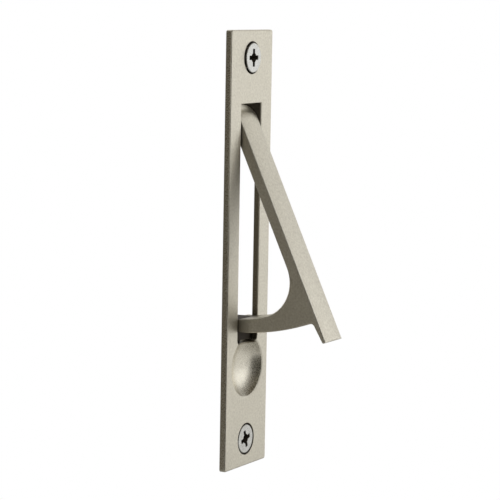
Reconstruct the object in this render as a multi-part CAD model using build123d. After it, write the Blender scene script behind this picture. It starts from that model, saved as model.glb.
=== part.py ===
from build123d import *
import os
from math import asin, cos, degrees, radians, sin, sqrt, tan

# Pocket door edge pull with a swing-out lever, in millimetres
# X runs across the faceplate, +Z up along the door edge, and -Y out towards the hand.
# The origin is the middle of the faceplate's back, which bears on the door edge.
# The lever is modelled swung out to its stop. It closes by turning back about the hinge pin.

# Faceplate
plate_length = 101.6
plate_width = 19.05
plate_thickness = 1.5
plate_corner_radius = 0.6
plate_edge_radius = 0.35

# Slot that the lever swings through, with rounded corners at its lower end only
slot_width = 9.3
slot_below_top = 16.8
slot_above_bottom = 28.9
slot_corner_radius = 1.5
slot_edge_radius = 0.2
slot_end_bevel = 0.3

# Finger scoop, cut by a ball across the slot's lower end
scoop_below_slot = 5.45
scoop_rim_radius = 7.15
scoop_ball_radius = 10.0
scoop_rim_rounding = 0.35
scoop_floor = 1.1
scoop_wall = 1.25

# Cheeks that carry the slot's end down behind the plate, beside the lever's foot
cheek_wall = 1.85
cheek_height = 5.8
boss_bevel = 0.5

# Hinge ears behind the plate, and the pin pressed through them
pivot_below_slot_top = 5.3
pivot_depth = 5.0
ear_thickness = 2.4
ear_base = 12.6
ear_tip_radius = 2.9
ear_above_slot = 0.8
pin_diameter = 2.4
pin_press = 0.01
pin_chamfer = 0.25
pivot_clearance = 0.05

# Screw holes and their flat-head screws
screw_inset = 6.35
countersink_rim = 7.6
countersink_angle = 90.0
head_diameter = 6.75
head_land = 0.2
head_angle = 82.0
head_bevel = 0.12
shank_diameter = 3.5
shank_length = 6.5
core_diameter = 2.5
screw_length = 19.05
point_length = 4.0
seat_clearance = 0.02
recess_span = 4.1
recess_arm = 1.0
recess_core = 2.3
recess_depth = 1.75
recess_taper = 12.0
top_screw_backed_out = 0.45
top_screw_turn = 0.0
bottom_screw_backed_out = 0.0
bottom_screw_turn = 17.0

# Lever: a flat bar with an eye at its top and a curved leg near its lower end
open_angle = 25.0
lever_side_clearance = 0.5
bar_thickness = 2.75
crown_radius = 32.0
lip_past_slot = 4.3
eye_fillet = 1.2
finger_radius = 8.4
leg_above_slot_end = 5.9
leg_thickness_at_bar = 5.3
leg_thickness_at_plate = 3.0
leg_back_radius = 57.4
lip_root_thickness = 1.85
lip_tip_thickness = 1.05
lip_fillet = 0.9
lip_end_rounding = 0.35
lever_bevel = 0.2

# Foot of the leg and the hook that stops the lever behind the plate
foot_clearance = 0.3
stop_clearance = 0.1
hook_thickness = 2.5
hook_drop = 1.8
hook_rounding = 0.6

# Places that follow from the sizes
front = -plate_thickness
slot_top = plate_length / 2 - slot_below_top
slot_end = slot_above_bottom - plate_length / 2
scoop_z = slot_end - scoop_below_slot
ball_height = sqrt(scoop_ball_radius**2 - scoop_rim_radius**2)
scoop_depth = scoop_ball_radius - ball_height
ball_y = front - ball_height
boss_back = front + scoop_depth + scoop_floor
hole_back_radius = countersink_rim / 2 - plate_thickness * tan(radians(countersink_angle / 2))
pivot_y = front + pivot_depth
pivot_z = slot_top - pivot_below_slot_top
bar_reach = pivot_z - slot_end + lip_past_slot
leg_inner_radius = pivot_z - slot_end - leg_above_slot_end
screw_z = plate_length / 2 - screw_inset
lever_width = slot_width - 2 * lever_side_clearance
ear_outside = slot_width / 2 + ear_thickness
far = plate_length


def across(profile, width):
    """A profile in the Y-Z plane, carried evenly to both sides of the middle."""
    return extrude(Plane.YZ * profile, width / 2, both=True)


def turned(profile, y, z):
    """A round piece about an axis along Y. The profile gives radius, then depth behind y."""
    plane = Plane(origin=(0, y, z), x_dir=(1, 0, 0), z_dir=(0, 0, 1))
    return revolve(plane * profile, Axis((0, y, z), (0, 1, 0)))


def slot_cut():
    """The slot, right through the plate and the boss behind it."""
    middle_z = (slot_top + slot_end) / 2
    outline = Pos(0, middle_z) * Rectangle(slot_width, slot_top - slot_end)
    outline = fillet(outline.vertices().group_by(Axis.Y)[0], slot_corner_radius)
    return extrude(Plane.XZ * outline, far, both=True)


def on_ball(radius):
    """A point of the scoop's ball, as its radius from the scoop's middle and its depth behind the front."""
    return (radius, sqrt(scoop_ball_radius**2 - radius**2) - ball_height)


def scoop_cut():
    """The ball that cuts the scoop, and a ring that rounds the rim that the ball leaves."""
    rounding_rim = sqrt(
        (scoop_ball_radius + scoop_rim_rounding) ** 2
        - (ball_height + scoop_rim_rounding) ** 2
    )
    touch = rounding_rim * scoop_ball_radius / (scoop_ball_radius + scoop_rim_rounding)
    inside = touch - 2 * scoop_rim_rounding
    ring = make_face(
        [
            ThreePointArc(on_ball(inside), on_ball((inside + touch) / 2), on_ball(touch)),
            RadiusArc(on_ball(touch), (rounding_rim, 0), scoop_rim_rounding),
            Polyline(
                (rounding_rim, 0),
                (rounding_rim, -scoop_depth),
                (inside, -scoop_depth),
                on_ball(inside),
            ),
        ]
    )
    ball = Pos(0, ball_y, scoop_z) * Sphere(scoop_ball_radius)
    return ball + turned(ring, front, scoop_z)


def slot_end_cut():
    """The bevel on the sharp edge between the slot's end and the scoop. It runs out into the corners."""
    lean = asin(scoop_below_slot / scoop_ball_radius)
    edge_radius = scoop_ball_radius * cos(lean)
    edge_y = ball_y + edge_radius
    profile = Polyline(
        (edge_y + slot_end_bevel, slot_end),
        (edge_y + slot_end_bevel * sin(lean), slot_end - slot_end_bevel * cos(lean)),
        (edge_y - slot_end_bevel, slot_end + slot_end_bevel / 2),
        close=True,
    )
    axis = Axis((0, ball_y, 0), (0, 0, 1))
    spread = degrees(asin((slot_width - slot_corner_radius) / 2 / edge_radius))
    return revolve((Plane.YZ * make_face(profile)).rotate(axis, -spread), axis, 2 * spread)


def countersink_cut(z):
    """A conical screw hole through the plate."""
    profile = make_face(
        Polyline(
            (0, 0),
            (countersink_rim / 2, 0),
            (hole_back_radius, plate_thickness),
            (0, plate_thickness),
            close=True,
        )
    )
    return turned(profile, front, z)


def boss():
    """The thickened back of the scoop, with a cheek up each side of the slot."""
    round_part = Pos(0, scoop_z) * Circle(scoop_rim_radius + scoop_wall)
    cheek_top = slot_end + cheek_height
    cheeks = Pos(0, (cheek_top + scoop_z) / 2) * Rectangle(
        slot_width + 2 * cheek_wall, cheek_top - scoop_z
    )
    blank = extrude(Plane.XZ * (round_part + cheeks), -boss_back)
    return chamfer(blank.faces().sort_by(Axis.Y)[-1].edges(), boss_bevel)


def ear(side):
    """One hinge ear, flush with the slot's wall, rounded about the pin and carried up past the slot."""
    tip = Pos(pivot_y, pivot_z) * Circle(ear_tip_radius)
    shoulder = Pos(pivot_y, slot_top + ear_above_slot - ear_tip_radius) * Circle(ear_tip_radius)
    root = Pos(-plate_edge_radius, pivot_z) * Rectangle(2 * plate_edge_radius, ear_base)
    outline = make_hull(tip.edges() + shoulder.edges() + root.edges())
    blank = extrude(Plane.YZ * outline, ear_thickness)
    return Pos(slot_width / 2 if side > 0 else -ear_outside, 0, 0) * blank


def faceplate():
    """One casting: the plate, its hinge ears, and the boss behind the scoop."""
    outline = RectangleRounded(plate_width, plate_length, plate_corner_radius)
    body = extrude(Plane.XZ * outline, plate_thickness)
    body = fillet(body.faces().sort_by(Axis.Y)[0].edges(), plate_edge_radius)
    body += boss()
    body -= slot_cut()
    slot_edges = [
        edge
        for edge in body.faces().sort_by(Axis.Y)[0].edges()
        if abs(edge.center().X) <= slot_width / 2 + plate_edge_radius
        and slot_end - slot_corner_radius < edge.center().Z <= slot_top + plate_edge_radius
    ]
    body = fillet(slot_edges, slot_edge_radius)
    body -= scoop_cut()
    body -= slot_end_cut()
    for side in (-1, 1):
        body += ear(side)
        body -= countersink_cut(side * screw_z)
    bore = Cylinder(pin_diameter / 2 - pin_press, far, rotation=(0, 90, 0))
    return body - Pos(0, pivot_y, pivot_z) * bore


def hinge_pin():
    """The pin, flush with the outer faces of both ears."""
    pin = Cylinder(pin_diameter / 2, 2 * ear_outside, rotation=(0, 90, 0))
    pin = chamfer(pin.edges().filter_by(GeomType.CIRCLE), pin_chamfer)
    return Pos(0, pivot_y, pivot_z) * pin


def screw(z, backed_out, turn):
    """A flat-head wood screw with a cross recess, its shank left without a thread."""
    slope = tan(radians(head_angle / 2))
    seat_depth = head_land + (head_diameter / 2 - hole_back_radius) / slope
    face_y = front + plate_thickness - seat_depth - seat_clearance - backed_out
    cone_end = head_land + (head_diameter - shank_diameter) / 2 / slope
    profile = make_face(
        Polyline(
            (0, 0),
            (head_diameter / 2, 0),
            (head_diameter / 2, head_land),
            (shank_diameter / 2, cone_end),
            (shank_diameter / 2, shank_length),
            (core_diameter / 2, shank_length + (shank_diameter - core_diameter) / 2),
            (core_diameter / 2, screw_length - point_length),
            (0, screw_length),
            close=True,
        )
    )
    body = turned(profile, face_y, z)
    face_edge = body.faces().sort_by(Axis.Y)[0].edges()
    body = chamfer(face_edge, head_bevel)
    arm_direction = (cos(radians(turn)), 0, sin(radians(turn)))
    mouth = Plane(origin=(0, face_y, z), x_dir=arm_direction, z_dir=(0, 1, 0))
    arms = Rectangle(recess_span, recess_arm) + Rectangle(recess_arm, recess_span)
    arms += Circle(recess_core / 2)
    return body - extrude(mouth * arms, recess_depth, taper=recess_taper)


def at_radius(radius, behind):
    """A point of the Y-Z plane at a distance from the pivot, and this far behind it along Y."""
    return (pivot_y + behind, pivot_z - sqrt(radius**2 - behind**2))


def swung_open(y, z):
    """Where a point of the closed lever comes to when the lever is open."""
    angle = radians(-open_angle)
    dy, dz = y - pivot_y, z - pivot_z
    return (pivot_y + dy * cos(angle) - dz * sin(angle), pivot_z + dy * sin(angle) + dz * cos(angle))


def rounded(outline, point, radius):
    """An outline of the Y-Z plane with its corner nearest to a point rounded."""
    return fillet(outline.vertices().sort_by_distance((*point, 0))[0], radius)


def lever_outline():
    """The open lever from the side: eye, bar and lip, and the leg back to its foot and hook."""
    bar_back = front + bar_thickness
    leg_middle = pivot_z - leg_inner_radius - leg_thickness_at_bar / 2
    tip = pivot_z - bar_reach
    bar_corners = [
        (front, pivot_z),
        (front, tip),
        (front + lip_tip_thickness, tip),
        (front + lip_root_thickness, leg_middle),
        (bar_back, leg_middle),
        (bar_back, pivot_z),
    ]
    bar = make_face(Polyline(*[swung_open(*corner) for corner in bar_corners], close=True))
    eye = Pos(pivot_y, pivot_z) * Circle(pivot_depth)

    inner_top = swung_open(*at_radius(leg_inner_radius, -pivot_depth))
    outer_top = swung_open(*at_radius(leg_inner_radius + leg_thickness_at_bar, -pivot_depth))
    outer_end = at_radius(leg_inner_radius + leg_thickness_at_plate, -pivot_depth)
    foot_front = stop_clearance
    corner_overlap = max(0, slot_corner_radius - lever_side_clearance)
    corner_rise = slot_corner_radius - sqrt(slot_corner_radius**2 - corner_overlap**2)
    foot_bottom = slot_end + corner_rise + foot_clearance
    hook_front = boss_back + stop_clearance
    hook_back = hook_front + hook_thickness
    hook_bottom = slot_end - hook_drop
    heel = at_radius(leg_inner_radius, hook_back - pivot_y)
    leg = make_face(
        [
            Line(inner_top, outer_top),
            RadiusArc(outer_top, outer_end, -leg_back_radius),
            Polyline(
                outer_end,
                (foot_front, outer_end[1]),
                (foot_front, foot_bottom),
                (hook_front, foot_bottom),
                (hook_front, hook_bottom),
                (hook_back, hook_bottom),
                heel,
            ),
            RadiusArc(heel, inner_top, leg_inner_radius),
        ]
    )
    outline = bar + eye + leg
    finger_corner = swung_open(bar_back, pivot_z - leg_inner_radius)
    outline = rounded(outline, finger_corner, finger_radius)
    outline = rounded(outline, swung_open(bar_back, pivot_z - pivot_depth), eye_fillet)
    outline = rounded(outline, swung_open(front + lip_root_thickness, leg_middle), lip_fillet)
    outline = rounded(outline, swung_open(front, tip), lip_end_rounding)
    outline = rounded(outline, swung_open(front + lip_tip_thickness, tip), lip_end_rounding)
    for corner in ((hook_front, hook_bottom), (hook_back, hook_bottom), (hook_back, heel[1])):
        outline = rounded(outline, corner, hook_rounding)
    return outline


def crown_cut():
    """What a crowned front with bevelled sides lacks of a flat one.

    It runs up the bar, round the eye and straight out over the eye's back.
    """
    pivot_axis = Axis((0, pivot_y, pivot_z), (-1, 0, 0))
    crown_end = lever_width / 2 - lever_bevel
    crown_end_y = front + crown_radius - sqrt(crown_radius**2 - crown_end**2)
    outside = lever_width / 2 + lever_bevel
    outside_y = crown_end_y + 2 * lever_bevel
    section = make_face(
        [
            ThreePointArc((-crown_end, crown_end_y), (0, front), (crown_end, crown_end_y)),
            Polyline(
                (crown_end, crown_end_y),
                (outside, outside_y),
                (outside, front - lever_bevel),
                (-outside, front - lever_bevel),
                (-outside, outside_y),
                (-crown_end, crown_end_y),
            ),
        ]
    )
    at_eye = Pos(0, 0, pivot_z) * section
    along_bar = extrude(at_eye, bar_reach + lever_bevel, dir=(0, 0, -1))
    round_eye = revolve(at_eye, pivot_axis, 90)
    over_back = extrude(at_eye.rotate(pivot_axis, 90), pivot_depth, dir=(0, 1, 0))
    return (along_bar + round_eye + over_back).rotate(pivot_axis, open_angle)


def pull_lever():
    """The lever, one casting, with the bore in its eye for the hinge pin."""
    blank = across(lever_outline(), lever_width)
    body = chamfer(blank.faces().filter_by(Axis.X).edges(), lever_bevel) - crown_cut()
    bore = Cylinder(pin_diameter / 2 + pivot_clearance, far, rotation=(0, 90, 0))
    return body - Pos(0, pivot_y, pivot_z) * bore


def write_parts():
    """One file for each piece."""
    pieces = {
        "faceplate": faceplate(),
        "pull_lever": pull_lever(),
        "hinge_pin": hinge_pin(),
        "top_screw": screw(screw_z, top_screw_backed_out, top_screw_turn),
        "bottom_screw": screw(-screw_z, bottom_screw_backed_out, bottom_screw_turn),
    }
    os.makedirs("parts", exist_ok=True)
    for name, piece in pieces.items():
        export_step(piece, "parts/" + name + ".step")


if __name__ == "__main__":
    write_parts()
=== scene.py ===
import math

import bpy
from mathutils import Matrix, Vector


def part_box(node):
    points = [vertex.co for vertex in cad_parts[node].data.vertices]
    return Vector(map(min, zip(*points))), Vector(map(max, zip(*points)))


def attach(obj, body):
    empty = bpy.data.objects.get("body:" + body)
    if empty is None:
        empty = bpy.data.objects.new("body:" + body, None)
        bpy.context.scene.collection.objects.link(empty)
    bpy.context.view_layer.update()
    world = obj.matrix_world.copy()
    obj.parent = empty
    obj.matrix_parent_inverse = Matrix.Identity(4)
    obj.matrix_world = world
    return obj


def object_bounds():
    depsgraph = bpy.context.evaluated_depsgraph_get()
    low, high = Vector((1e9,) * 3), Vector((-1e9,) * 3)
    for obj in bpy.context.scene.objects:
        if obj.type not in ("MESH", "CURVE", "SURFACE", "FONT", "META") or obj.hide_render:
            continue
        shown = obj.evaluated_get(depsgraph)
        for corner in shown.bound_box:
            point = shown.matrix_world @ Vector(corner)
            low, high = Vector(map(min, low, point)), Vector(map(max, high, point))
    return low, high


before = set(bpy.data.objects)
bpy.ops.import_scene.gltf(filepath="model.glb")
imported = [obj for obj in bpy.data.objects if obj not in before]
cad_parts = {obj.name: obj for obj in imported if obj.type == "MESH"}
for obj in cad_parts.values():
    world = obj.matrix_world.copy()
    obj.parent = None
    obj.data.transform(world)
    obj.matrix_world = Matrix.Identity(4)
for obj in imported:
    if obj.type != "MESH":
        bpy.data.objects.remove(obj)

cad_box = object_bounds()

MM = 0.001

# Camera, fitted to the photo's 500 x 500 frame with the plate held at 19.05 mm wide and 1.6 mm thick.
# Azimuth turns from straight in front towards -X.
PHOTO_PIXELS = 500
SENSOR_MM = 36.0
FOCAL_PIXELS = 2122.1
CAMERA_AZIMUTH = 60.583
CAMERA_ELEVATION = 6.851
CAMERA_ROLL = 1.0
CAMERA_DISTANCE = 491.95 * MM
AIM_POINT = Vector((0.434, -1.5, 0.012)) * MM

# Studio
WHITE = (1.0, 1.0, 1.0, 1.0)
TENT_COLOUR = (0.8, 0.8, 0.79, 1.0)
TENT_STRENGTH = 0.6
TENT_WALL = (0.78, 0.775, 0.75, 1.0)
CEILING = (0.085, 0.07, 0.045, 1.0)
CEILING_RIGHT = (68.0, 84.0)
SOFTBOX = (1.36, 1.355, 1.33, 1.0)
SOFTBOX_MIDDLE = 42.0
SOFTBOX_HALF_WIDTH = 40.0
SOFTBOX_TOP = 29.0
SOFTBOX_RIM = (0.72, 1.06)
SOFTBOX_FADE = (-13.0, 10.0)
FLOOR_COLOUR = (0.8, 0.8, 0.79, 1.0)
FLOOR_BELOW_PART = 40 * MM
FLOOR_SIZE = 8.0
FLOOR_NEAR = (0.78, 0.77, 0.74, 1.0)
FLOOR_FAR = (1.02, 1.02, 1.0, 1.0)
FLOOR_NEAR_RADIUS = 0.2
FLOOR_FAR_RADIUS = 1.3
# Painted shadow of the part on the floor, seen only in reflections
FLOOR_PAINTED_SHADOW = (0.32, 0.31, 0.28, 1.0)
FLOOR_PAINTED_SHADOW_RADIUS = (0.07, 0.13)

# Cove on the camera's side: it rises from the floor near the part and runs on as a wall
COVE_FROM = -5.0
COVE_TO = 158.0
COVE_STEPS = 32
COVE_PROFILE = ((0.12, -0.088), (0.4, -0.086), (0.72, 0.0), (0.78, 0.9))
COVE_DARK = (0.035, 0.031, 0.022, 1.0)
COVE_LIGHT = (0.72, 0.71, 0.68, 1.0)
COVE_GREY = (0.155, 0.143, 0.118, 1.0)
COVE_LIGHT_FROM = (38.0, 48.0)
COVE_LIGHT_TO = (80.0, 98.0)
COVE_LIGHT_ABOVE = (-60 * MM, -35 * MM)
FLOOR_DARK = (0.06, 0.055, 0.045, 1.0)
FLOOR_DARK_FROM = (98.0, 108.0)
FLOOR_DARK_TO = (155.0, 172.0)
FLOOR_DARK_RADIUS = (0.42, 0.7)

# Small bright card up at the right, which the lever's eye mirrors
EYE_CARD_DISTANCE = 120 * MM
EYE_CARD_SIDES = (62.0, 98.0)
EYE_CARD_HEIGHTS = (66 * MM, 120 * MM)
EYE_CARD_COLOUR = (0.8, 0.78, 0.72, 1.0)

# White card in the plane of the door's edge, in front of what is let into the door
CARD_BEHIND_PLATE = 0.02 * MM
# Half size of the dark squares of painted shade behind the screw holes
SCREW_HOLE_HALF_SIZE = 3 * MM
CARD_HALF_WIDTH = 60 * MM
CARD_HALF_HEIGHT = 75 * MM
CARD_UNDER_PLATE = 0.6 * MM

# Screw thread
THREAD_PITCH = 1.41 * MM
THREAD_STARTS_BEHIND_FACE = 6.9 * MM
THREAD_ENDS_BEFORE_TIP = 0.9 * MM
POINT_LENGTH = 4.0 * MM
HELIX_RADIUS = 1.33 * MM
RIDGE_RADIUS = 0.4 * MM
TIP_SHARE = 0.22
STEPS_PER_TURN = 28

# Finish: how strongly grain, speckle and clouds change the tone and the gloss
SPECKLE_TO_GRAIN = 3.2
CLOUD_SIZE = 6 * MM
GRAIN_TONE = 1.2
SPECKLE_TONE = 1.6
CLOUD_TONE = 0.5
CLOUD_GLOSS = 0.06
MATT_FADE = (0.48, 0.56)
BUMP_STRENGTH = 0.35

# Painted shade: a darker tone, and a deep, matt one, chosen to match the photo
PAINTED_SHADE_TONE = (0.3, 0.27, 0.21, 1.0)
PAINTED_DEEP_SHADE = (0.05, 0.038, 0.024, 1.0)
PAINTED_DEEP_SHADE_ROUGHNESS = 0.75

# The plate's zones. Each fade is where a zone begins or ends, along one axis or a radius.
DULL_FRONT = 0.17
FRONT_FADE = (-1.49 * MM, -1.38 * MM)
SLOT_SIDE_FADE = (4.72 * MM, 4.82 * MM)
SLOT_DEPTH_FADE = (-1.42 * MM, -1.1 * MM)
SLOT_END_FADE = (-22.3 * MM, -22.1 * MM)
SLOT_TOP_FADE = (33.9 * MM, 33.96 * MM)
# Deep painted shade towards the slot's top
SLOT_TOP_SHADE = 0.85
SLOT_TOP_SHADE_FADE = (16 * MM, 26 * MM)
# Painted shade on the plate's outer side faces
OUTER_SIDE_SHADE = 0.55
OUTER_SIDE_FADE = (9.42 * MM, 9.5 * MM)
HOLE_RIM_FADE = (3.76 * MM, 3.82 * MM)
HOLE_FRONT_FADE = (-1.48 * MM, -1.43 * MM)
HOLE_BACK_FADE = (-0.08 * MM, -0.04 * MM)

# The open lever: its pivot, the angle of its bar and the plane of the bar's back from the pivot
PIVOT_Y = 3.5 * MM
PIVOT_Z = 28.7 * MM
LEVER_ANGLE = math.radians(25)
BAR_BACK = -2.25 * MM

# The lever's zones
EYE_FADE = (5 * MM, 8 * MM)
EYE_HIDDEN_FADE = (3.5 * MM, 5.5 * MM)
# Painted shade up the sides of the eye
EYE_SIDE_SHADE = 0.65
EYE_SIDE_FADE = (15 * MM, 26 * MM)
LEVER_SIDE_FADE = (4.02 * MM, 4.1 * MM)
FOOT_HIDDEN_FADE = (-1.55 * MM, -1.2 * MM)
NEAR_FOOT_FADE = (-5 * MM, -1.4 * MM)
# Deep painted shade on the foot, near the plate and on the bar's back
FOOT_SHADE = 0.7
NEAR_FOOT_SHADE = 0.3
FOOT_SHADE_FADE = (3 * MM, 6 * MM)
BAR_BACK_SHADE = 0.45
BAR_BACK_SKIN = (0.08 * MM, 0.14 * MM)
BAR_BACK_LOW_FADE = (-40 * MM, -36 * MM)
BAR_BACK_HIGH_FADE = (-6 * MM, -5.5 * MM)

# The screws' zones, measured from the screw's axis and from the front of its head
RECESS_RADIUS_FADE = (2.0 * MM, 2.08 * MM)
RECESS_MOUTH_FADE = (0.04 * MM, 0.12 * MM)
RECESS_BOTTOM_FADE = (1.8 * MM, 1.9 * MM)
UNDER_HEAD_FRONT_FADE = (0.14 * MM, 0.2 * MM)
UNDER_HEAD_BACK_FADE = (1.4 * MM, 1.6 * MM)

# Sockets of a Mix node that mixes colours, by number, because their names repeat
MIX_FACTOR, MIX_FIRST, MIX_SECOND, MIX_RESULT = 0, 6, 7, 2


def direction(azimuth, elevation):
    """The way from the part towards a place, by azimuth from straight in front towards -X."""
    a, e = math.radians(azimuth), math.radians(elevation)
    return Vector((-math.sin(a) * math.cos(e), -math.cos(a) * math.cos(e), math.sin(e)))


class Signal:
    """One value in a node tree. Python operators on it add Math nodes."""

    def __init__(self, tree, socket):
        self.tree = tree
        self.socket = socket

    def math(self, operation, first, second=0.0):
        return self.tree.add("ShaderNodeMath", {"operation": operation}, {0: first, 1: second})

    def __add__(self, other):
        return self.math("ADD", self, other)

    def __radd__(self, other):
        return self.math("ADD", other, self)

    def __sub__(self, other):
        return self.math("SUBTRACT", self, other)

    def __rsub__(self, other):
        return self.math("SUBTRACT", other, self)

    def __mul__(self, other):
        return self.math("MULTIPLY", self, other)

    def __rmul__(self, other):
        return self.math("MULTIPLY", other, self)

    def __truediv__(self, other):
        return self.math("DIVIDE", self, other)

    def size(self):
        return self.math("ABSOLUTE", self)

    def root(self):
        return self.math("SQRT", self)

    def clamped(self):
        return self.math("MINIMUM", self.math("MAXIMUM", self, 0.0), 1.0)


class Tree:
    """A node tree that is written as expressions."""

    def __init__(self, tree):
        self.tree = tree
        self.tree.nodes.clear()

    def add(self, kind, settings, inputs, output=0):
        """Adds a node with its settings first, then its inputs, and gives one of its outputs."""
        node = self.tree.nodes.new(kind)
        for name, value in settings.items():
            setattr(node, name, value)
        for name, value in inputs.items():
            if isinstance(value, Signal):
                self.tree.links.new(value.socket, node.inputs[name])
            else:
                node.inputs[name].default_value = value
        return Signal(self, node.outputs[output]) if node.outputs else None


def shading_of(owner):
    """The empty shader tree of a material or a world."""
    owner.use_nodes = True
    return Tree(owner.node_tree)


def noise(shader, place, size, detail=2.0, roughness=0.5):
    """Noise whose blobs are about this size in metres, from 0 to 1."""
    settings = {"noise_dimensions": "3D"}
    inputs = {"Vector": place, "Scale": 1 / size, "Detail": detail, "Roughness": roughness}
    return shader.add("ShaderNodeTexNoise", settings, inputs, "Fac")


def mixed(shader, factor, first, second):
    """A colour between two others."""
    inputs = {MIX_FACTOR: factor, MIX_FIRST: first, MIX_SECOND: second}
    return shader.add("ShaderNodeMix", {"data_type": "RGBA"}, inputs, MIX_RESULT)


def ramp_up(value, start, end):
    """0 where the value is below start, 1 above end, straight in between."""
    return ((value - start) / (end - start)).clamped()


def ramp_down(value, start, end):
    """1 where the value is below start, 0 above end, straight in between."""
    return 1 - ramp_up(value, start, end)


def axis_value(shader, place, axis):
    return shader.add("ShaderNodeSeparateXYZ", {}, {"Vector": place}, "XYZ".index(axis))


def inside_slot(shader, place):
    """1 inside the slot and behind it, where shade is painted, 0 on the plated outside."""
    x, y, z = (axis_value(shader, place, axis) for axis in "XYZ")
    across = ramp_down(x.size(), *SLOT_SIDE_FADE)
    behind = ramp_up(y, *SLOT_DEPTH_FADE)
    along = ramp_up(z, *SLOT_END_FADE) * ramp_down(z, *SLOT_TOP_FADE)
    return across * behind * along


def faceplate_tint(shader, place, colour):
    """Paints shade: a darker tone inside the slot and on the plate's outer sides, and deep shade in the
    screws' countersinks and towards the slot's top.
    """
    in_slot = inside_slot(shader, place)
    x, y, z = (axis_value(shader, place, axis) for axis in "XYZ")
    outer_side = ramp_up(x.size(), *OUTER_SIDE_FADE) * OUTER_SIDE_SHADE
    # Painted shade: a darker tone inside the slot and on the outer sides
    colour = mixed(shader, in_slot + outer_side, colour, PAINTED_SHADE_TONE)
    # Deep painted shade towards the slot's top and in the countersinks
    at_slot_top = in_slot * ramp_up(z, *SLOT_TOP_SHADE_FADE) * SLOT_TOP_SHADE
    screw_low, screw_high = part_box("top_screw")
    from_hole = z.size() - (screw_low.z + screw_high.z) / 2
    radius = (x * x + from_hole * from_hole).root()
    between_faces = ramp_up(y, *HOLE_FRONT_FADE) * ramp_down(y, *HOLE_BACK_FADE)
    in_hole = ramp_down(radius, *HOLE_RIM_FADE) * between_faces
    dullness = ramp_down(y, *FRONT_FADE) * DULL_FRONT
    return colour, (in_hole + at_slot_top).clamped(), dullness


def lever_tint(shader, place, colour):
    """Paints shade on the lever: a darker tone on its back, where it nears and enters the plate, on the
    eye behind the plate and up the eye's sides, and deep shade on its foot and its back.
    """
    x, y, z = (axis_value(shader, place, axis) for axis in "XYZ")
    at_eye = ramp_up(z, *EYE_FADE)
    at_foot = 1 - at_eye
    foot_hidden = at_foot * ramp_up(y, *FOOT_HIDDEN_FADE)
    near_foot = at_foot * ramp_up(y, *NEAR_FOOT_FADE)
    eye_hidden = at_eye * ramp_up(y, *EYE_HIDDEN_FADE)
    eye_side = ramp_up(x.size(), *LEVER_SIDE_FADE) * ramp_up(z, *EYE_SIDE_FADE) * EYE_SIDE_SHADE
    out, up = y - PIVOT_Y, z - PIVOT_Z
    turned_out = out * math.cos(LEVER_ANGLE) - up * math.sin(LEVER_ANGLE)
    turned_up = out * math.sin(LEVER_ANGLE) + up * math.cos(LEVER_ANGLE)
    at_back = ramp_down((turned_out - BAR_BACK).size(), *BAR_BACK_SKIN)
    on_bar = ramp_up(turned_up, *BAR_BACK_LOW_FADE) * ramp_down(turned_up, *BAR_BACK_HIGH_FADE)
    bar_back = at_back * on_bar
    # Painted shade: a darker tone at the back, in and near the plate, and on the eye
    shaded = (foot_hidden + near_foot + eye_hidden + bar_back + eye_side).clamped()
    colour = mixed(shader, shaded, colour, PAINTED_SHADE_TONE)
    # Deep painted shade on the foot and the bar's back
    foot_shade = foot_hidden * FOOT_SHADE + near_foot * NEAR_FOOT_SHADE
    deep_shade = foot_shade * ramp_down(y, *FOOT_SHADE_FADE) + bar_back * BAR_BACK_SHADE
    return colour, deep_shade, 0.0


def screw_tint(node_name):
    """Painted shade darkens one screw's cross recess and the underside of its head."""
    low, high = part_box(node_name)
    middle = (low + high) / 2

    def tint(shader, place, colour):
        x, y, z = (axis_value(shader, place, axis) for axis in "XYZ")
        behind_face = y - low.y
        across, up = x - middle.x, z - middle.z
        radius = (across * across + up * up).root()
        # Deep painted shade in the cross recess and under the head
        recess = ramp_down(radius, *RECESS_RADIUS_FADE) * ramp_up(behind_face, *RECESS_MOUTH_FADE)
        recess = recess * ramp_down(behind_face, *RECESS_BOTTOM_FADE)
        under_head = ramp_up(behind_face, *UNDER_HEAD_FRONT_FADE)
        under_head = under_head * ramp_down(behind_face, *UNDER_HEAD_BACK_FADE)
        return colour, (recess + under_head).clamped(), 0.0

    return tint


def satin_metal(name, dark, light, roughness, matt_grain, grain_size, grain_height, tint=None):
    """Plated metal with a fine matt grain, faint clouding and small changes of gloss."""
    material = bpy.data.materials.new(name)
    shader = shading_of(material)
    place = shader.add("ShaderNodeTexCoord", {}, {}, "Object")
    grain = noise(shader, place, grain_size, detail=3.0, roughness=0.7)
    speckle = noise(shader, place, SPECKLE_TO_GRAIN * grain_size, detail=1.0)
    clouds = noise(shader, place, CLOUD_SIZE, detail=3.0)
    tone = 0.5 + (grain - 0.5) * GRAIN_TONE + (speckle - 0.5) * SPECKLE_TONE + (clouds - 0.5) * CLOUD_TONE
    colour = mixed(shader, tone.clamped(), dark, light)
    gloss = roughness + ramp_up(grain, *MATT_FADE) * matt_grain + (clouds - 0.5) * CLOUD_GLOSS
    metallic = 1.0
    # The tint paints shade: a darker tone, and a deep shade that is also made matt and not metal
    if tint:
        colour, deep_shade, dullness = tint(shader, place, colour)
        colour = mixed(shader, deep_shade, colour, PAINTED_DEEP_SHADE)
        metallic = 1 - deep_shade
        gloss = (gloss + dullness) * metallic + deep_shade * PAINTED_DEEP_SHADE_ROUGHNESS
    bump = shader.add(
        "ShaderNodeBump",
        {},
        {"Strength": BUMP_STRENGTH, "Distance": grain_height, "Height": grain},
        "Normal",
    )
    surface = shader.add(
        "ShaderNodeBsdfPrincipled",
        {},
        {"Base Color": colour, "Metallic": metallic, "Roughness": gloss, "Normal": bump},
    )
    shader.add("ShaderNodeOutputMaterial", {}, {"Surface": surface})
    return material


def paint(node_name, material):
    """Gives a CAD node its finish."""
    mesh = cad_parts[node_name].data
    mesh.materials.clear()
    mesh.materials.append(material)


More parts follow.
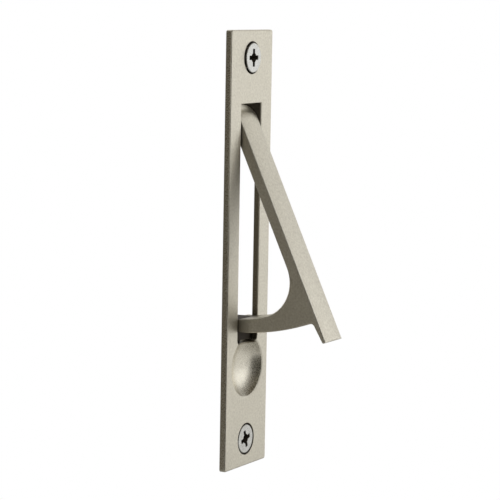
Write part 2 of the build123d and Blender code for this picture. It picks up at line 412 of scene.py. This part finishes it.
def ray_is(shader, *kinds):
    """1 for a light ray of any of these kinds."""
    rays = [shader.add("ShaderNodeLightPath", {}, {}, kind) for kind in kinds]
    return sum(rays[1:], rays[0]).clamped()


def glowing(shader, colour):
    return shader.add("ShaderNodeEmission", {}, {"Color": colour, "Strength": 1.0})


def white_tent():
    """White to the camera, while metal mirrors a studio that the camera doesn't see.

    It has a rounded softbox at the right and a pale wall past it, and is near black elsewhere.
    """
    world = bpy.data.worlds.new("white_tent")
    bpy.context.scene.world = world
    shader = shading_of(world)
    way = shader.add("ShaderNodeTexCoord", {}, {}, "Generated")
    x, y, z = (axis_value(shader, way, axis) for axis in "XYZ")
    azimuth = x.math("ARCTAN2", x, 0 - y) * (180 / math.pi)
    elevation = z.math("ARCSINE", z) * (180 / math.pi)
    across = (azimuth - SOFTBOX_MIDDLE) / SOFTBOX_HALF_WIDTH
    upward = (elevation / SOFTBOX_TOP).clamped() + ramp_up(elevation, SOFTBOX_TOP, 2 * SOFTBOX_TOP)
    outside = ramp_up((across * across + upward * upward).root(), *SOFTBOX_RIM)
    softbox = mixed(shader, ramp_up(elevation, *SOFTBOX_FADE), TENT_WALL, SOFTBOX)
    surroundings = mixed(shader, ramp_up(azimuth, *CEILING_RIGHT), CEILING, TENT_WALL)
    studio = mixed(shader, outside, softbox, surroundings)
    plain = shader.add("ShaderNodeBackground", {}, {"Color": TENT_COLOUR, "Strength": TENT_STRENGTH})
    mirrored = shader.add("ShaderNodeBackground", {}, {"Color": studio, "Strength": 1.0})
    white = shader.add("ShaderNodeBackground", {}, {"Color": WHITE, "Strength": 1.0})
    in_metal = ray_is(shader, "Is Glossy Ray")
    lit = shader.add("ShaderNodeMixShader", {}, {0: in_metal, 1: plain, 2: mirrored})
    seen = ray_is(shader, "Is Camera Ray", "Is Transmission Ray")
    surface = shader.add("ShaderNodeMixShader", {}, {0: seen, 1: lit, 2: white})
    shader.add("ShaderNodeOutputWorld", {}, {"Surface": surface})


def add_mesh(name, points, faces, material):
    mesh = bpy.data.meshes.new(name)
    mesh.from_pydata([tuple(p) for p in points], [], faces)
    mesh.materials.append(material)
    piece = bpy.data.objects.new(name, mesh)
    bpy.context.scene.collection.objects.link(piece)
    return piece


def pale_floor():
    """A floor below the part, white to the camera and without a shadow.

    In reflections it is brighter far off, has a painted shadow under the part, and is dark in one patch
    beside it.
    """
    material = bpy.data.materials.new("pale_floor")
    shader = shading_of(material)
    place = shader.add("ShaderNodeTexCoord", {}, {}, "Object")
    x, y = axis_value(shader, place, "X"), axis_value(shader, place, "Y")
    distance = (x * x + y * y).root()
    fade = ramp_up(distance, FLOOR_NEAR_RADIUS, FLOOR_FAR_RADIUS)
    matt = shader.add("ShaderNodeBsdfDiffuse", {}, {"Color": FLOOR_COLOUR})
    azimuth = x.math("ARCTAN2", x, 0 - y) * (180 / math.pi)
    beside = ramp_up(azimuth, *FLOOR_DARK_FROM) * (1 - ramp_up(azimuth, *FLOOR_DARK_TO))
    dark = beside * (1 - ramp_up(distance, *FLOOR_DARK_RADIUS))
    pale = mixed(shader, fade, FLOOR_NEAR, FLOOR_FAR)
    # Painted shadow under the part
    pale = mixed(shader, ramp_up(distance, *FLOOR_PAINTED_SHADOW_RADIUS), FLOOR_PAINTED_SHADOW, pale)
    mirrored = glowing(shader, mixed(shader, dark, pale, FLOOR_DARK))
    in_metal = shader.add(
        "ShaderNodeMixShader",
        {},
        {0: ray_is(shader, "Is Glossy Ray", "Is Transmission Ray"), 1: matt, 2: mirrored},
    )
    inputs = {0: ray_is(shader, "Is Camera Ray"), 1: in_metal, 2: glowing(shader, WHITE)}
    surface = shader.add("ShaderNodeMixShader", {}, inputs)
    shader.add("ShaderNodeOutputMaterial", {}, {"Surface": surface})
    height = cad_box[0][2] - FLOOR_BELOW_PART
    half = FLOOR_SIZE / 2
    corners = [(-half, -half, height), (half, -half, height), (half, half, height), (-half, half, height)]
    add_mesh("floor", corners, [(0, 1, 2, 3)], material)


def dark_cove():
    """A curved cloth on the camera's side, dark but for a light stretch. The camera doesn't see it."""
    material = bpy.data.materials.new("dark_cove")
    shader = shading_of(material)
    place = shader.add("ShaderNodeTexCoord", {}, {}, "Object")
    x, y = axis_value(shader, place, "X"), axis_value(shader, place, "Y")
    azimuth = (0 - x).math("ARCTAN2", 0 - x, 0 - y) * (180 / math.pi)
    above = ramp_up(axis_value(shader, place, "Z"), *COVE_LIGHT_ABOVE)
    lit = ramp_up(azimuth, *COVE_LIGHT_FROM) * above
    before = mixed(shader, lit, COVE_DARK, COVE_LIGHT)
    glow = glowing(shader, mixed(shader, ramp_up(azimuth, *COVE_LIGHT_TO), before, COVE_GREY))
    shader.add("ShaderNodeOutputMaterial", {}, {"Surface": glow})
    points = []
    for step in range(COVE_STEPS + 1):
        towards = direction(COVE_FROM + (COVE_TO - COVE_FROM) * step / COVE_STEPS, 0)
        points += [(towards.x * r, towards.y * r, z) for r, z in COVE_PROFILE]
    row = len(COVE_PROFILE)
    faces = [
        (row * s + k, row * s + k + 1, row * (s + 1) + k + 1, row * (s + 1) + k)
        for s in range(COVE_STEPS)
        for k in range(row - 1)
    ]
    cove = add_mesh("dark_cove", points, faces, material)
    cove.visible_camera = False
    cove.visible_shadow = False


def eye_card():
    """A small bright card that only reflections find."""
    material = bpy.data.materials.new("eye_card")
    shader = shading_of(material)
    shader.add("ShaderNodeOutputMaterial", {}, {"Surface": glowing(shader, EYE_CARD_COLOUR)})
    first, last = (direction(-side, 0) * EYE_CARD_DISTANCE for side in EYE_CARD_SIDES)
    bottom, top = EYE_CARD_HEIGHTS
    points = [(first.x, first.y, bottom), (last.x, last.y, bottom)]
    points += [(last.x, last.y, top), (first.x, first.y, top)]
    card = add_mesh("eye_card", points, [(0, 1, 2, 3)], material)
    card.visible_camera = False
    card.visible_diffuse = False
    card.visible_transmission = False
    card.visible_shadow = False


def seen_from_front(name, colour):
    """A plain colour to a camera in front of it, and clear from behind."""
    material = bpy.data.materials.new(name)
    shader = shading_of(material)
    clear = shader.add("ShaderNodeBsdfTransparent", {}, {"Color": WHITE})
    behind = shader.add("ShaderNodeNewGeometry", {}, {}, "Backfacing")
    surface = shader.add("ShaderNodeMixShader", {}, {0: behind, 1: glowing(shader, colour), 2: clear})
    shader.add("ShaderNodeOutputMaterial", {}, {"Surface": surface})
    return material


def upright_corners(middle_x, middle_z, half_x, half_z, y):
    """The corners of an upright rectangle, in the order that turns its front towards -Y."""
    signs = ((-1, -1), (1, -1), (1, 1), (-1, 1))
    return [(middle_x + sx * half_x, y, middle_z + sz * half_z) for sx, sz in signs]


def stage_for_camera(piece):
    """Only the camera sees this piece."""
    piece.visible_glossy = False
    piece.visible_diffuse = False
    piece.visible_transmission = False
    piece.visible_shadow = False


def door_edge_card():
    """A white card in the plane of the door's edge, with dark squares of painted shade behind the holes
    that the screws stand in.

    It stands for the door that hides what is let into it, and lies just behind the plate. It hides
    the ears, pin, boss, hook and shanks from the front, because the photo doesn't show them.
    """
    plate_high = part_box("faceplate")[1]
    hole_x = plate_high.x - CARD_UNDER_PLATE
    hole_z = plate_high.z - CARD_UNDER_PLATE
    points = upright_corners(0, 0, CARD_HALF_WIDTH, CARD_HALF_HEIGHT, CARD_BEHIND_PLATE)
    points += upright_corners(0, 0, hole_x, hole_z, CARD_BEHIND_PLATE)
    faces = [(k, (k + 1) % 4, (k + 1) % 4 + 4, k + 4) for k in range(4)]
    stage_for_camera(add_mesh("door_edge_card", points, faces, seen_from_front("door_edge", WHITE)))
    # Dark squares of painted shade behind the screw holes
    dark = seen_from_front("screw_hole_shade", PAINTED_DEEP_SHADE)
    for screw_name in ("top_screw", "bottom_screw"):
        low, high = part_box(screw_name)
        middle = (low + high) / 2
        size = SCREW_HOLE_HALF_SIZE
        corners = upright_corners(middle.x, middle.z, size, size, CARD_BEHIND_PLATE)
        stage_for_camera(add_mesh(screw_name + "_hole", corners, [(0, 1, 2, 3)], dark))


def photo_camera():
    camera = bpy.data.cameras.new("photo_camera")
    camera.sensor_width = SENSOR_MM
    camera.lens = FOCAL_PIXELS * SENSOR_MM / PHOTO_PIXELS
    camera.clip_start = 0.01
    back = direction(CAMERA_AZIMUTH, CAMERA_ELEVATION)
    right = Vector((0, 0, 1)).cross(back).normalized()
    up = back.cross(right)
    roll = math.radians(CAMERA_ROLL)
    rolled_right = right * math.cos(roll) + up * math.sin(roll)
    rolled_up = up * math.cos(roll) - right * math.sin(roll)
    piece = bpy.data.objects.new("photo_camera", camera)
    turn = Matrix((rolled_right, rolled_up, back)).transposed().to_4x4()
    piece.matrix_world = Matrix.Translation(AIM_POINT + back * CAMERA_DISTANCE) @ turn
    bpy.context.scene.collection.objects.link(piece)
    bpy.context.scene.camera = piece


def thread_tree(material):
    """Nodes that wind a three-sided ridge round +Z into a screw thread that thins out on the point."""
    group = bpy.data.node_groups.new("screw_thread", "GeometryNodeTree")
    for name in ("Length", "Pitch", "Helix Radius", "Ridge Radius", "Point Start", "Tip Share"):
        group.interface.new_socket(name, in_out="INPUT", socket_type="NodeSocketFloat")
    group.interface.new_socket("Geometry", in_out="OUTPUT", socket_type="NodeSocketGeometry")
    nodes = Tree(group)
    length, pitch, helix_radius, ridge_radius, point_start, tip_share = (
        nodes.add("NodeGroupInput", {}, {}, name)
        for name in ("Length", "Pitch", "Helix Radius", "Ridge Radius", "Point Start", "Tip Share")
    )
    helix = nodes.add(
        "GeometryNodeCurveSpiral",
        {},
        {
            "Resolution": STEPS_PER_TURN,
            "Rotations": length / pitch,
            "Start Radius": helix_radius,
            "End Radius": helix_radius,
            "Height": length,
        },
    )
    here = nodes.add("GeometryNodeInputPosition", {}, {})
    along = nodes.add("ShaderNodeSeparateXYZ", {}, {"Vector": here}, "Z")
    on_point = ((along - point_start) / (length - point_start)).clamped()
    narrow = 1 - on_point * (1 - tip_share)
    narrowing = nodes.add("ShaderNodeCombineXYZ", {}, {"X": narrow, "Y": narrow, "Z": 1.0})
    place = nodes.add("ShaderNodeVectorMath", {"operation": "MULTIPLY"}, {0: here, 1: narrowing})
    tapered = nodes.add("GeometryNodeSetPosition", {}, {"Geometry": helix, "Position": place})
    upright = nodes.add("GeometryNodeSetCurveNormal", {"mode": "Z_UP"}, {"Curve": tapered})
    ridge = nodes.add("GeometryNodeCurvePrimitiveCircle", {}, {"Resolution": 3, "Radius": ridge_radius})
    thread = nodes.add(
        "GeometryNodeCurveToMesh",
        {},
        {"Curve": upright, "Profile Curve": ridge, "Scale": 1 - on_point * 0.5, "Fill Caps": True},
    )
    real = nodes.add("GeometryNodeRealizeInstances", {}, {"Geometry": thread})
    finished = nodes.add("GeometryNodeSetMaterial", {}, {"Geometry": real, "Material": material})
    nodes.add("NodeGroupOutput", {}, {"Geometry": finished})
    return group


def screw_thread(screw_name, group):
    """The thread of one screw, as a plain mesh round the screw's own axis."""
    low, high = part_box(screw_name)
    middle = (low + high) / 2
    start = low.y + THREAD_STARTS_BEHIND_FACE
    length = high.y - THREAD_ENDS_BEFORE_TIP - start
    sizes = {
        "Length": length,
        "Pitch": THREAD_PITCH,
        "Helix Radius": HELIX_RADIUS,
        "Ridge Radius": RIDGE_RADIUS,
        "Point Start": high.y - POINT_LENGTH - start,
        "Tip Share": TIP_SHARE,
    }
    holder = bpy.data.objects.new("thread_holder", bpy.data.meshes.new("thread_holder"))
    bpy.context.scene.collection.objects.link(holder)
    winding = holder.modifiers.new("winding", "NODES")
    winding.node_group = group
    for socket in group.interface.items_tree:
        if socket.in_out == "INPUT":
            winding[socket.identifier] = sizes[socket.name]
    evaluated = holder.evaluated_get(bpy.context.evaluated_depsgraph_get())
    mesh = bpy.data.meshes.new_from_object(evaluated)
    bpy.data.objects.remove(holder)
    lying = Matrix.Rotation(math.radians(-90), 4, "X")
    mesh.transform(Matrix.Translation((middle.x, start, middle.z)) @ lying)
    mesh.name = screw_name + "_thread"
    piece = bpy.data.objects.new(screw_name + "_thread", mesh)
    bpy.context.scene.collection.objects.link(piece)
    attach(piece, "plate")


satin_nickel = {
    "dark": (0.645, 0.612, 0.529, 1.0),
    "light": (0.82, 0.788, 0.695, 1.0),
    "roughness": 0.26,
    "matt_grain": 0.16,
    "grain_size": 0.16 * MM,
    "grain_height": 0.006 * MM,
}
screw_steel = {
    "dark": (0.55, 0.55, 0.53, 1.0),
    "light": (0.7, 0.7, 0.685, 1.0),
    "roughness": 0.24,
    "matt_grain": 0.15,
    "grain_size": 0.3 * MM,
    "grain_height": 0.002 * MM,
}
plain_steel = satin_metal("screw_steel", **screw_steel)
paint("faceplate", satin_metal("satin_nickel_plate", tint=faceplate_tint, **satin_nickel))
lever_nickel = dict(satin_nickel, roughness=0.34)
paint("pull_lever", satin_metal("satin_nickel_lever", tint=lever_tint, **lever_nickel))
paint("hinge_pin", plain_steel)
winding_tree = thread_tree(plain_steel)
for node_name in ("top_screw", "bottom_screw"):
    paint(node_name, satin_metal(node_name + "_steel", tint=screw_tint(node_name), **screw_steel))
    screw_thread(node_name, winding_tree)

white_tent()
pale_floor()
dark_cove()
eye_card()
door_edge_card()
photo_camera()

bpy.context.scene.view_settings.view_transform = "Standard"
